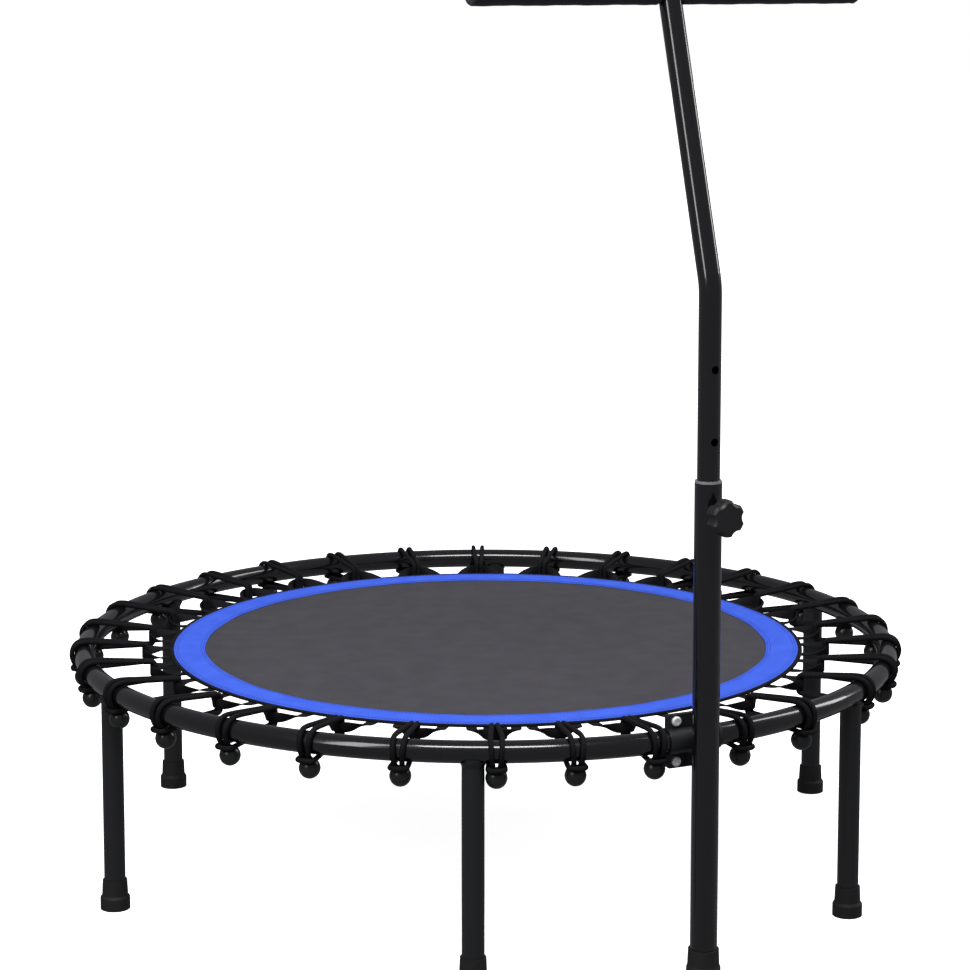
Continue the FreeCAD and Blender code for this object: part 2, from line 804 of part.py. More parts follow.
def clamp_nut(azimuth, rise):
    """A hexagon lock nut behind the rear plate."""
    tab = plate_half_gap.value + plate_thickness.value + nut_seat.value
    start = around(azimuth, -tab, 0, rise)
    inward = start - around(azimuth, -tab + 1, 0, rise)
    sideways = around(azimuth, 0, 1, 0) - around(azimuth, 0, 0, 0)
    across = nut_across.value / math.sqrt(3)
    corners = []
    for step in range(7):
        angle = math.radians(60 * step)
        corners.append(start + sideways * (across * math.cos(angle)) + UP * (across * math.sin(angle)))
    nut = Part.Face(Part.makePolygon(corners)).extrude(inward * nut_height.value)
    return nut.cut(Part.makeCylinder(bolt_diameter.value / 2, nut_height.value, start, inward))


bolt_places = []
for azimuth in (-bolt_half_angle.value, bolt_half_angle.value):
    for rise in (-bolt_rise.value, bolt_rise.value):
        bolt_places.append((azimuth, rise))
keep(fixed_shape("clamp_bolts", Part.makeCompound([clamp_bolt(*place) for place in bolt_places])))
keep(fixed_shape("clamp_nuts", Part.makeCompound([clamp_nut(*place) for place in bolt_places])))

# The post: a tube with one hole on its outer side for the lock screw.
post_bore = post_diameter / 2 - tube_wall
post_length = post_top - foot_sole
blank = cylinder("post_blank", post_diameter / 2, post_length, (0, 0, foot_sole))
hollow = cylinder("post_hollow", post_bore, post_length + 2, (0, 0, foot_sole - 1))
tube = boolean("Cut", "post_tube_blank", blank, hollow)
screw_hole = cylinder("post_screw_hole", lock_screw_diameter / 2 + screw_hole_play, post_diameter, (0, 0, lock_height),
                      Vector(0, -1, 0))
post = keep(boolean("Cut", "post_tube", tube, screw_hole))
put(post, 0, post_radius)

post_foot = keep(rubber_foot("post_foot", post_diameter, post_foot_height, post_foot_diameter, foot_neck_wall))
put(post_foot, 0, post_radius)

bushing_bore = handle_diameter / 2 + running_play
bushing = keep(turned_part("post_bushing", [
    (bushing_bore, post_top - bushing_depth),
    (post_bore, post_top - bushing_depth),
    (post_bore, post_top),
    (post_diameter / 2, post_top),
    (post_diameter / 2 - 0.6, post_top + bushing_lip),
    (bushing_bore, post_top + bushing_lip),
]))
put(bushing, 0, post_radius)


# ---------------------------------------------------------------- handle

handle = keep(new_body("handle_tube"))
path = new_sketch(handle, "YZ_Plane", "handle_path")
lean_run = (crossbar_height - handle_bend_height) / cosine(handle_lean)
bend_setback = handle_bend_radius * tangent(handle_lean / 2)
bend_low = handle_bend_height - bend_setback
bend_high = handle_bend_height + bend_setback * cosine(handle_lean)
bend_in = bend_setback * sine(handle_lean)
top_in = lean_run * sine(handle_lean)
bend_mid_angle = math.radians(handle_lean.value / 2)
bend_middle = Vector(
    handle_bend_radius.value * (1 - math.cos(bend_mid_angle)),
    bend_low.value + handle_bend_radius.value * math.sin(bend_mid_angle), 0)
upright = path.addGeometry(Part.LineSegment(
    Vector(0, handle_bottom.value, 0), Vector(0, bend_low.value, 0)), False)
bend = path.addGeometry(Part.Arc(
    Vector(0, bend_low.value, 0), bend_middle, Vector(bend_in.value, bend_high.value, 0)), False)
leaning = path.addGeometry(Part.LineSegment(
    Vector(bend_in.value, bend_high.value, 0), Vector(top_in.value, crossbar_height.value, 0)), False)
fix(path, "DistanceX", upright, 1, 0)
fix(path, "DistanceY", upright, 1, handle_bottom)
fix(path, "DistanceX", upright, 2, 0)
fix(path, "DistanceY", upright, 2, bend_low)
bend_starts_at = 1 if path.getPoint(bend, 1).y < path.getPoint(bend, 2).y else 2
bend_ends_at = 3 - bend_starts_at
path.addConstraint(Sketcher.Constraint("Coincident", upright, 2, bend, bend_starts_at))
path.addConstraint(Sketcher.Constraint("Coincident", bend, bend_ends_at, leaning, 1))
fix(path, "DistanceX", leaning, 1, bend_in)
fix(path, "DistanceY", leaning, 1, bend_high)
fix(path, "DistanceX", leaning, 2, top_in)
fix(path, "DistanceY", leaning, 2, crossbar_height)
bend_size = path.addConstraint(Sketcher.Constraint("Radius", bend, handle_bend_radius.value))
path.setExpression("Constraints[%d]" % bend_size, handle_bend_radius.text)

ring_profile = new_sketch(handle, "XY_Plane", "handle_section")
add_circle(ring_profile, 0, 0, handle_diameter / 2)
add_circle(ring_profile, 0, 0, handle_diameter / 2 - tube_wall)
ring_profile.AttachmentOffset = FreeCAD.Placement(Vector(0, 0, handle_bottom.value), FreeCAD.Rotation())
bind(ring_profile, {".AttachmentOffset.Base.z": handle_bottom})
pipe = handle.newObject("PartDesign::AdditivePipe", "handle_pipe")
pipe.Profile = ring_profile
pipe.Spine = path
doc.recompute()
pipe_volume = handle.Shape.Volume

height_holes = new_sketch(handle, "XZ_Plane", "handle_height_holes")
for step in range(3):
    add_circle(height_holes, 0, lock_height + step * height_step, height_hole_diameter / 2)
holes = handle.newObject("PartDesign::Pocket", "handle_holes")
holes.Profile = height_holes
holes.Reversed = True
bind(holes, {"Length": handle_diameter})
doc.recompute()
if handle.Shape.Volume > pipe_volume - 1:
    raise RuntimeError("the height holes cut nothing")

cope = new_sketch(handle, "YZ_Plane", "handle_cope")
add_circle(cope, top_in, crossbar_height, crossbar_diameter / 2)
coping = handle.newObject("PartDesign::Pocket", "handle_coping")
coping.Profile = cope
coping.Midplane = True
bind(coping, {"Length": handle_diameter * 3})
put(handle, 0, post_radius)

guide = keep(turned_part("handle_guide_plug", [
    (0, handle_bottom - 3),
    (post_bore - running_play * 2, handle_bottom - 3),
    (post_bore - running_play * 2, handle_bottom),
    (handle_diameter / 2 - tube_wall, handle_bottom),
    (handle_diameter / 2 - tube_wall, handle_bottom + guide_plug_height),
    (0, handle_bottom + guide_plug_height),
]))
put(guide, 0, post_radius)

bar_outer = cylinder("crossbar_outer", crossbar_diameter / 2, crossbar_length,
                     (-crossbar_length / 2, 0, 0), Vector(1, 0, 0))
bar_inner = cylinder("crossbar_inner", crossbar_diameter / 2 - tube_wall, crossbar_length + 2,
                     (-crossbar_length / 2 - 1, 0, 0), Vector(1, 0, 0))
crossbar = keep(boolean("Cut", "handle_crossbar", bar_outer, bar_inner))
put(crossbar, 0, crossbar_radius, crossbar_height)


def foam_grip(label, side):
    """A foam sleeve with a closed, rounded outer end."""
    start = grip_gap / 2
    bore = crossbar_diameter / 2
    tube_end = crossbar_length / 2
    body = new_body(label)
    sketch = new_sketch(body, "XZ_Plane", label + "_outline")
    add_outline(sketch, [
        (bore, start),
        (grip_diameter / 2, start),
        (grip_diameter / 2, tube_end + grip_end),
        (0, tube_end + grip_end),
        (0, tube_end),
        (bore, tube_end),
    ])
    revolve(body, sketch, label + "_turn")
    outer = grip_diameter.value / 2

    def outer_rim(edge):
        return edge.Curve.TypeId == "Part::GeomCircle" and abs(edge.Curve.Radius - outer) < 1e-6

    round_edges(body, label + "_round", grip_round, outer_rim)
    put(body, 0, crossbar_radius, crossbar_height)
    body.setExpression(".Placement.Rotation.Angle", None)
    base = body.Placement.Base
    body.Placement = FreeCAD.Placement(base, FreeCAD.Rotation(Vector(0, 1, 0), 90 * side))
    return body


keep(foam_grip("grip_left", -1))
keep(foam_grip("grip_right", 1))


# ---------------------------------------------------------------- height lock

OUTWARD = FreeCAD.Rotation(Vector(1, 0, 0), 90)


def lock_piece(body):
    """Turn a lathe part so that its axis points out from the post, at the lock's height."""
    put(body, 0, post_radius, lock_height, turned=False)
    body.Placement = FreeCAD.Placement(body.Placement.Base, OUTWARD)
    return keep(body)


boss_bore = lock_screw_diameter / 2 + running_play / 2
boss_blank = cylinder("lock_boss_blank", lock_nut_diameter / 2, lock_nut_reach - post_bore,
                      (0, 0, post_bore))
boss_hole = cylinder("lock_boss_hole", boss_bore, post_diameter, (0, 0, 0))
boss_seat = cylinder("lock_boss_seat", post_diameter / 2, post_diameter * 2,
                     (0, -post_diameter, 0), Vector(0, 1, 0))
boss_drilled = boolean("Cut", "lock_boss_drilled", boss_blank, boss_hole)
lock_piece(boolean("Cut", "lock_boss", boss_drilled, boss_seat))

lock_piece(turned_part("lock_screw", [
    (0, lock_screw_tip),
    (lock_screw_diameter / 2 - lock_screw_bevel, lock_screw_tip),
    (lock_screw_diameter / 2, lock_screw_tip + lock_screw_bevel),
    (lock_screw_diameter / 2, knob_reach - knob_cap),
    (0, knob_reach - knob_cap),
]))

knob = new_body("lock_knob")
grip_sketch = new_sketch(knob, "XY_Plane", "knob_round")
add_circle(grip_sketch, 0, 0, knob_diameter / 2)
grip_sketch.AttachmentOffset = FreeCAD.Placement(
    Vector(0, 0, knob_inner.value + knob_hub_height.value), FreeCAD.Rotation())
bind(grip_sketch, {".AttachmentOffset.Base.z": knob_inner + knob_hub_height})
grip_pad = knob.newObject("PartDesign::Pad", "knob_grip")
grip_pad.Profile = grip_sketch
bind(grip_pad, {"Length": knob_reach - knob_inner - knob_hub_height})
doc.recompute()
round_volume = knob.Shape.Volume

scallop_sketch = new_sketch(knob, "XY_Plane", "knob_scallop_outline")
add_circle(scallop_sketch, knob_scallop_centre, 0, knob_scallop)
scallop = knob.newObject("PartDesign::Pocket", "knob_scallop_cut")
scallop.Profile = scallop_sketch
scallop.Reversed = True
bind(scallop, {"Length": knob_reach * 2})
doc.recompute()
if knob.Shape.Volume > round_volume - 1:
    raise RuntimeError("the knob's scallop cut nothing")
lobes = knob.newObject("PartDesign::PolarPattern", "knob_lobes")
lobes.Originals = [scallop]
lobes.Axis = (scallop_sketch, ["N_Axis"])
lobes.Angle = 360
lobes.Occurrences = knob_lobes
knob.Tip = lobes

hub_sketch = new_sketch(knob, "XY_Plane", "knob_hub_round")
add_circle(hub_sketch, 0, 0, knob_hub_diameter / 2)
hub_sketch.AttachmentOffset = FreeCAD.Placement(Vector(0, 0, knob_inner.value), FreeCAD.Rotation())
bind(hub_sketch, {".AttachmentOffset.Base.z": knob_inner})
hub = knob.newObject("PartDesign::Pad", "knob_hub")
hub.Profile = hub_sketch
bind(hub, {"Length": knob_hub_height + 2})

bore_sketch = new_sketch(knob, "XY_Plane", "knob_bore_round")
add_circle(bore_sketch, 0, 0, lock_screw_diameter / 2)
knob_bore = knob.newObject("PartDesign::Pocket", "knob_bore")
knob_bore.Profile = bore_sketch
knob_bore.Reversed = True
bind(knob_bore, {"Length": knob_reach - knob_cap})
face_height = knob_reach.value


def on_the_face(edge):
    box = edge.BoundBox
    return box.ZLength < 1e-6 and abs(box.ZMax - face_height) < 1e-6


bevel_edges(knob, "knob_bevel", knob_chamfer, on_the_face)
lock_piece(knob)


# ---------------------------------------------------------------- check and write

doc.recompute()
for thing in doc.Objects:
    if "Invalid" in thing.State or "Error" in thing.State:
        raise RuntimeError("%s did not compute: %s" % (thing.Label, thing.State))

whole = FreeCAD.BoundBox()
for part in sub_parts:
    shape = part.Shape
    if shape.isNull() or not shape.isValid():
        raise RuntimeError("%s has no valid shape" % part.Label)
    if not shape.Solids:
        raise RuntimeError("%s has no solid" % part.Label)
    whole.add(shape.BoundBox)
    shape.exportStep("parts/%s.step" % part.Label)

print("%d sub-parts" % len(sub_parts))
print("box x %.2f to %.2f, y %.2f to %.2f, z %.2f to %.2f" % (
    whole.XMin, whole.XMax, whole.YMin, whole.YMax, whole.ZMin, whole.ZMax))
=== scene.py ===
# %% [markdown]
# A mini trampoline with a handle bar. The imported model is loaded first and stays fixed. Each soft or
# finely shaped piece is then made around it. Every place comes from the model's own boxes, so the
# pieces still fit if a size of the model changes.

# %% The frame
import math

import bmesh
import bpy
from mathutils import Matrix, Vector


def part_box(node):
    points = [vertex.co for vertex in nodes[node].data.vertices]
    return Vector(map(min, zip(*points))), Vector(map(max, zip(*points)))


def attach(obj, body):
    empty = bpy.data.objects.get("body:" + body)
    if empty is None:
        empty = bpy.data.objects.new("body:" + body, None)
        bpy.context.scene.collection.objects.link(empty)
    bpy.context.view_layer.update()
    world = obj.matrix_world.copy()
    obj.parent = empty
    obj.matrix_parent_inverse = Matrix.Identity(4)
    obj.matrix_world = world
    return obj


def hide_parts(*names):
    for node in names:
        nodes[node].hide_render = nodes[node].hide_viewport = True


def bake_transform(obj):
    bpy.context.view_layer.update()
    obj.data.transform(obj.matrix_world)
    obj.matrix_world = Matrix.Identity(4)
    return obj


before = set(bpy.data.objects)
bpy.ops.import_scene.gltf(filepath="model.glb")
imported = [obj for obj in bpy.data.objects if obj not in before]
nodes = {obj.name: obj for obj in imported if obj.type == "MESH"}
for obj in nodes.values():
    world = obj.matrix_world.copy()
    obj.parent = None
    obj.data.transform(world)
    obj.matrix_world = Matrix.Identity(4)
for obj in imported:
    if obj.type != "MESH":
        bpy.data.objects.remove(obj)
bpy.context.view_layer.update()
UP = Vector((0, 0, 1))
GROUPS = range(1, 7)
print("the frame has", len(nodes), "nodes")

# %% [markdown]
# The ring's axis and the heights of its tube are read from the six frame sections together. A small
# helper gives a point by its angle round the ring, so that pieces can be described as a maker would:
# so far out, so far aside, so high.

# %% Places round the ring
section_boxes = [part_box("frame_section_%d" % number) for number in GROUPS]
ring_low = Vector([min(box[0][axis] for box in section_boxes) for axis in range(3)])
ring_high = Vector([max(box[1][axis] for box in section_boxes) for axis in range(3)])
RING_X = (ring_low.x + ring_high.x) / 2
RING_Y = (ring_low.y + ring_high.y) / 2
RING_Z = (ring_low.z + ring_high.z) / 2
TUBE_RADIUS = (ring_high.z - ring_low.z) / 2
RING_RADIUS = (ring_high.x - ring_low.x) / 2 - TUBE_RADIUS


def ring_point(azimuth, radius, aside, height):
    """A point at an angle round the ring from the post's side, at a radius, aside and at a height."""
    angle = math.radians(azimuth)
    outward = Vector((math.sin(angle), -math.cos(angle), 0))
    across = Vector((math.cos(angle), math.sin(angle), 0))
    return Vector((RING_X, RING_Y, height)) + outward * radius + across * aside


print("ring radius %.4f, tube radius %.4f, height %.4f" % (RING_RADIUS, TUBE_RADIUS, RING_Z))

# %% [markdown]
# The camera stands low in front and to the left, turned a little down at the mat. A long lens keeps
# the ring's oval flat. A small upward shift keeps the uprights nearly parallel.

# %% Camera
LENS_MM = 103.78
SENSOR_MM = 36
CAMERA_PLACE = Vector((-1.5496, -3.0246, 1.1029))
CAMERA_YAW = math.radians(26.900)
CAMERA_PITCH = math.radians(-7.609)
CAMERA_SHIFT = -0.15
CAMERA_REACH = 60

lens = bpy.data.cameras.new("camera")
lens.sensor_width = SENSOR_MM
lens.lens = LENS_MM
lens.shift_y = CAMERA_SHIFT
lens.clip_end = CAMERA_REACH
camera = bpy.data.objects.new("camera", lens)
camera.location = CAMERA_PLACE
camera.rotation_euler = (math.pi / 2 + CAMERA_PITCH, 0, -CAMERA_YAW)
bpy.context.scene.collection.objects.link(camera)
bpy.context.scene.camera = camera
print("lens %.1f mm" % lens.lens)

# %% [markdown]
# A pale floor and a white surround give a plain studio ground. The object itself stands in a dim room,
# as if between black flags, so that its black tubes stay black. A broad sun from above lights the mat,
# and soft boxes at both sides draw the long thin highlights that show a glossy tube's roundness.

# %% Studio
def flat_colour(name, colour, roughness, glow):
    """A plain material for what isn't part of the object."""
    material = bpy.data.materials.new(name)
    material.use_nodes = True
    shader = material.node_tree.nodes["Principled BSDF"]
    shader.inputs["Base Color"].default_value = (*colour, 1)
    shader.inputs["Roughness"].default_value = roughness
    shader.inputs["Specular IOR Level"].default_value = 0.0
    shader.inputs["Emission Color"].default_value = (*colour, 1)
    shader.inputs["Emission Strength"].default_value = glow
    return material


def soft_lamp(name, place, aim, size, power):
    """A square soft box that looks at a point."""
    light = bpy.data.lights.new(name, "AREA")
    light.shape = "RECTANGLE"
    light.size, light.size_y = size
    light.energy = power
    lamp = bpy.data.objects.new(name, light)
    lamp.location = place
    lamp.rotation_euler = (Vector(aim) - Vector(place)).to_track_quat("-Z", "Y").to_euler()
    bpy.context.scene.collection.objects.link(lamp)
    return lamp


FLOOR_SIDE = 40
FLOOR_GLOW = 0.94
FLOOR_COLOUR = (0.95, 0.95, 0.95)
FLOOR_ROUGHNESS = 0.9
floor_mesh = bpy.data.meshes.new("floor")
floor_build = bmesh.new()
bmesh.ops.create_grid(floor_build, x_segments=1, y_segments=1, size=FLOOR_SIDE / 2)
floor_build.to_mesh(floor_mesh)
floor_build.free()
floor = bpy.data.objects.new("floor", floor_mesh)
bpy.context.scene.collection.objects.link(floor)
floor_mesh.materials.append(flat_colour("floor_white", FLOOR_COLOUR, FLOOR_ROUGHNESS, FLOOR_GLOW))
floor.visible_diffuse = False
floor.visible_glossy = False

LAMP_AIM = (0, 0, 0.3)
soft_lamp("lamp_left", (-2.8, -1.4, 2.4), LAMP_AIM, (0.7, 2.4), 34)
soft_lamp("lamp_right", (2.8, -0.4, 2.2), LAMP_AIM, (0.6, 2.4), 26)
soft_lamp("lamp_front", (-0.9, -1.8, 3.4), LAMP_AIM, (1.8, 0.65), 66)

SUN_STRENGTH = 1.9
SUN_WIDTH = math.radians(25)
SUN_TILT = (math.radians(-14), math.radians(10), 0)
sun = bpy.data.lights.new("sun", "SUN")
sun.energy = SUN_STRENGTH
sun.angle = SUN_WIDTH
sun_lamp = bpy.data.objects.new("sun", sun)
sun_lamp.rotation_euler = SUN_TILT
sun_lamp.visible_glossy = False
bpy.context.scene.collection.objects.link(sun_lamp)

ROOM_COLOUR = (0.18, 0.18, 0.19, 1)
SURROUND_COLOUR = (1.0, 1.0, 1.0, 1)
world = bpy.data.worlds.new("studio")
bpy.context.scene.world = world
world.use_nodes = True
world_tree = world.node_tree
world_background = world_tree.nodes["Background"]
seen_from = world_tree.nodes.new("ShaderNodeLightPath")
room = world_tree.nodes.new("ShaderNodeMix")
room.data_type = "RGBA"
MIX_FACTOR, MIX_FIRST_COLOUR, MIX_SECOND_COLOUR, MIX_COLOUR_OUT = 0, 6, 7, 2
room.inputs[MIX_FIRST_COLOUR].default_value = ROOM_COLOUR
room.inputs[MIX_SECOND_COLOUR].default_value = SURROUND_COLOUR
world_tree.links.new(seen_from.outputs["Is Camera Ray"], room.inputs[MIX_FACTOR])
world_tree.links.new(room.outputs[MIX_COLOUR_OUT], world_background.inputs["Color"])
bpy.context.scene.view_settings.view_transform = "Standard"
print("three soft boxes, a sun and a floor")

# %% [markdown]
# Every finish is a Principled shader with its fixed numbers on the shader's own sockets. A noise
# pattern on Object coordinates, at the scale of the real surface, varies the colour and roughness a
# little and raises a fine bump. One function makes each such finish from a short list of values.

# %% Finishes made by one function
def add_node(tree, kind, **settings):
    """A new node with its properties set."""
    node = tree.nodes.new(kind)
    for name, value in settings.items():
        setattr(node, name, value)
    return node


def finish(name, dark, light, roughness, grain, bump, metallic=0.0, coat=0.0, sheen=0.0):
    """A finish whose colour and roughness vary with a grain, in grains to the metre."""
    material = bpy.data.materials.new(name)
    material.use_nodes = True
    tree = material.node_tree
    shader = tree.nodes["Principled BSDF"]
    shader.inputs["Metallic"].default_value = metallic
    shader.inputs["Coat Weight"].default_value = coat
    shader.inputs["Coat Roughness"].default_value = 0.06
    shader.inputs["Sheen Weight"].default_value = sheen
    shader.inputs["Sheen Roughness"].default_value = 0.5
    place = add_node(tree, "ShaderNodeTexCoord")
    noise = add_node(tree, "ShaderNodeTexNoise")
    noise.inputs["Scale"].default_value = grain
    noise.inputs["Detail"].default_value = 4
    wear = add_node(tree, "ShaderNodeTexNoise")
    wear.inputs["Scale"].default_value = grain / 60
    wear.inputs["Detail"].default_value = 3
    colours = add_node(tree, "ShaderNodeValToRGB")
    colours.color_ramp.elements[0].position = 0.3
    colours.color_ramp.elements[0].color = (*dark, 1)
    colours.color_ramp.elements[1].position = 0.7
    colours.color_ramp.elements[1].color = (*light, 1)
    dull = add_node(tree, "ShaderNodeMapRange")
    dull.inputs["To Min"].default_value = roughness[0]
    dull.inputs["To Max"].default_value = roughness[1]
    relief = add_node(tree, "ShaderNodeBump")
    relief.inputs["Strength"].default_value = bump
    relief.inputs["Distance"].default_value = 0.0003
    tree.links.new(place.outputs["Object"], noise.inputs["Vector"])
    tree.links.new(place.outputs["Object"], wear.inputs["Vector"])
    tree.links.new(noise.outputs["Fac"], colours.inputs["Fac"])
    tree.links.new(wear.outputs["Fac"], dull.inputs["Value"])
    tree.links.new(noise.outputs["Fac"], relief.inputs["Height"])
    tree.links.new(colours.outputs["Color"], shader.inputs["Base Color"])
    tree.links.new(dull.outputs["Result"], shader.inputs["Roughness"])
    tree.links.new(relief.outputs["Normal"], shader.inputs["Normal"])
    return material


gloss_black = finish("gloss_black", (0.004, 0.004, 0.005), (0.007, 0.007, 0.008), (0.14, 0.22), 900, 0.03,
                     coat=0.6)
satin_black = finish("satin_black", (0.011, 0.012, 0.013), (0.017, 0.018, 0.019), (0.38, 0.48), 1300, 0.1)
rubber_black = finish("rubber_black", (0.007, 0.007, 0.008), (0.013, 0.013, 0.014), (0.62, 0.78), 1500, 0.3)
ball_black = finish("ball_black", (0.012, 0.013, 0.013), (0.018, 0.019, 0.019), (0.24, 0.32), 1100, 0.08)
knob_black = finish("knob_black", (0.012, 0.012, 0.013), (0.020, 0.020, 0.021), (0.38, 0.5), 1400, 0.2)
bright_zinc = finish("bright_zinc", (0.88, 0.89, 0.90), (0.96, 0.97, 0.98), (0.28, 0.40), 1200, 0.1,
                     metallic=0.25)
grey_plastic = finish("grey_plastic", (0.20, 0.20, 0.21), (0.26, 0.26, 0.27), (0.4, 0.5), 1200, 0.08)
grip_foam = finish("grip_foam", (0.014, 0.014, 0.018), (0.030, 0.030, 0.036), (0.82, 0.95), 1700, 0.9,
                   sheen=0.15)
print("eight plain finishes")

# %% [markdown]
# Cloth, webbing and braid show their threads. A product of two sine waves gives the over and under of
# a plain weave. Turned by an eighth of a turn it gives the diamonds of a braid. The mat reads Object
# coordinates, because it is flat. Straps and cords read their own UV map, which is laid out in metres.

# %% Woven finishes
WEAVE_RELIEF = 0.5


def woven(name, dark, light, pitch, source, turn=0.0, roughness=0.8, fade=0.25):
    """A cloth finish with threads at a pitch in metres, varied by a soft noise."""
    material = bpy.data.materials.new(name)
    material.use_nodes = True
    tree = material.node_tree
    shader = tree.nodes["Principled BSDF"]
    shader.inputs["Roughness"].default_value = roughness
    shader.inputs["Specular IOR Level"].default_value = 0.12
    place = add_node(tree, "ShaderNodeTexCoord")
    turned = add_node(tree, "ShaderNodeMapping")
    turned.inputs["Rotation"].default_value = (0, 0, turn)
    apart = add_node(tree, "ShaderNodeSeparateXYZ")
    tree.links.new(place.outputs[source], turned.inputs["Vector"])
    tree.links.new(turned.outputs["Vector"], apart.inputs["Vector"])
    waves = []
    for axis in ("X", "Y"):
        phase = add_node(tree, "ShaderNodeMath", operation="MULTIPLY")
        phase.inputs[1].default_value = 2 * math.pi / pitch
        wave = add_node(tree, "ShaderNodeMath", operation="SINE")
        tree.links.new(apart.outputs[axis], phase.inputs[0])
        tree.links.new(phase.outputs[0], wave.inputs[0])
        waves.append(wave)
    threads = add_node(tree, "ShaderNodeMath", operation="MULTIPLY")
    tree.links.new(waves[0].outputs[0], threads.inputs[0])
    tree.links.new(waves[1].outputs[0], threads.inputs[1])
    noise = add_node(tree, "ShaderNodeTexNoise")
    noise.inputs["Scale"].default_value = 35
    noise.inputs["Detail"].default_value = 5
    tree.links.new(place.outputs[source], noise.inputs["Vector"])
    mixed = add_node(tree, "ShaderNodeMath", operation="MULTIPLY_ADD")
    mixed.inputs[1].default_value = fade
    tree.links.new(threads.outputs[0], mixed.inputs[0])
    tree.links.new(noise.outputs["Fac"], mixed.inputs[2])
    colours = add_node(tree, "ShaderNodeValToRGB")
    colours.color_ramp.elements[0].position = 0.2
    colours.color_ramp.elements[0].color = (*dark, 1)
    colours.color_ramp.elements[1].position = 0.8
    colours.color_ramp.elements[1].color = (*light, 1)
    relief = add_node(tree, "ShaderNodeBump")
    relief.inputs["Strength"].default_value = WEAVE_RELIEF
    relief.inputs["Distance"].default_value = 0.0002
    tree.links.new(mixed.outputs[0], colours.inputs["Fac"])
    tree.links.new(threads.outputs[0], relief.inputs["Height"])
    tree.links.new(colours.outputs["Color"], shader.inputs["Base Color"])
    tree.links.new(relief.outputs["Normal"], shader.inputs["Normal"])
    return material


mat_weave = woven("mat_weave", (0.052, 0.050, 0.058), (0.066, 0.064, 0.073), 0.0016, "Object")
band_weave = woven("band_weave", (0.042, 0.100, 0.62), (0.060, 0.138, 0.74), 0.0012, "UV", roughness=0.7)
webbing_weave = woven("webbing_weave", (0.006, 0.006, 0.007), (0.012, 0.012, 0.014), 0.0014, "UV")
braid = woven("braid", (0.005, 0.005, 0.006), (0.012, 0.012, 0.014), 0.0013, "UV", turn=math.pi / 4,
              roughness=0.72, fade=0.35)
navy_thread = woven("navy_thread", (0.020, 0.035, 0.22), (0.035, 0.055, 0.32), 0.0006, "Object")
print("five woven finishes")

# %% [markdown]
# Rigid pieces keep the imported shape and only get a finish. The table below names each finish once and
# lists what is made of it, so that no piece is left plain.

# %% Finishes for the rigid pieces
rigid = {
    gloss_black: ["frame_section_%d" % n for n in GROUPS] + ["post_tube", "handle_tube", "handle_crossbar"],
    satin_black: ["leg_socket_%d" % n for n in GROUPS] + ["leg_tube_%d" % n for n in GROUPS]
                 + ["clamp_plate_front", "clamp_plate_rear", "lock_boss"],
    rubber_black: ["leg_foot_%d" % n for n in GROUPS] + ["post_foot"],
    bright_zinc: ["clamp_bolts", "clamp_nuts", "lock_screw"],
    grey_plastic: ["post_bushing", "handle_guide_plug"],
    knob_black: ["lock_knob"],
}
for material, names in rigid.items():
    for name in names:
        shape = nodes[name].data
        shape.materials.clear()
        shape.materials.append(material)
print(sum(len(names) for names in rigid.values()), "rigid pieces finished")

# %% [markdown]
# Two helpers make most of the soft pieces. The first sweeps a section along stations and writes a UV
# map in metres. The second links a finished mesh to the scene with its material.

# %% Sweeping and adding pieces
def swept(name, rings, closed):
    """A mesh through rings of points, each ring one section, with a UV map in metres."""
    build = bmesh.new()
    uv = build.loops.layers.uv.new("UVMap")
    sides = len(rings[0])
    rows = [[build.verts.new(point) for point in ring] for ring in rings]
    around = [0.0]
    for index in range(sides):
        around.append(around[-1] + (rings[0][(index + 1) % sides] - rings[0][index]).length)
    along = [0.0]
    for index in range(len(rings)):
        following = rings[(index + 1) % len(rings)]
        along.append(along[-1] + (following[0] - rings[index][0]).length)
    spans = len(rings) if closed else len(rings) - 1
    for row in range(spans):
        after = rows[(row + 1) % len(rings)]
        for side in range(sides):
            turn = (side + 1) % sides
            face = build.faces.new((rows[row][side], rows[row][turn], after[turn], after[side]))
            face.smooth = True
            for loop, (u, v) in zip(face.loops, ((row, side), (row, side + 1), (row + 1, side + 1),
                                                 (row + 1, side))):
                loop[uv].uv = (along[u], around[v])
    if not closed:
        build.faces.new(rows[0])
        build.faces.new(rows[-1])
    bmesh.ops.recalc_face_normals(build, faces=build.faces)
    shape = bpy.data.meshes.new(name)
    build.to_mesh(shape)
    build.free()
    return shape


def add_piece(name, shape, material):
    """Link a mesh as a piece of the object."""
    shape.materials.clear()
    shape.materials.append(material)
    piece = bpy.data.objects.new(name, shape)
    bpy.context.scene.collection.objects.link(piece)
    return piece


# %% [markdown]
# The loops are not quite evenly spaced, so their places are read from the stop balls. The corners of
# each node's mesh are sorted by angle, and a wide gap parts one ball from the next.

# %% Where the loops are
def azimuth_of(point):
    """The angle round the ring of a point, from the post's side."""
    return math.degrees(math.atan2(point.x - RING_X, RING_Y - point.y))


BALL_GAP_DEGREES = 3


def ball_azimuths(number):
    """The angles of the five balls in one group, counted on from the group's leg."""
    low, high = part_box("leg_tube_%d" % number)
    start = azimuth_of((low + high) / 2)
    corners = nodes["stop_balls_%d" % number].data.vertices
    turns = sorted((azimuth_of(corner.co) - start) % 360 for corner in corners)
    breaks = [index for index in range(1, len(turns)) if turns[index] - turns[index - 1] > BALL_GAP_DEGREES]
    edges = [0] + breaks + [len(turns)]
    return [start + (turns[first] + turns[last - 1]) / 2 for first, last in zip(edges, edges[1:])]


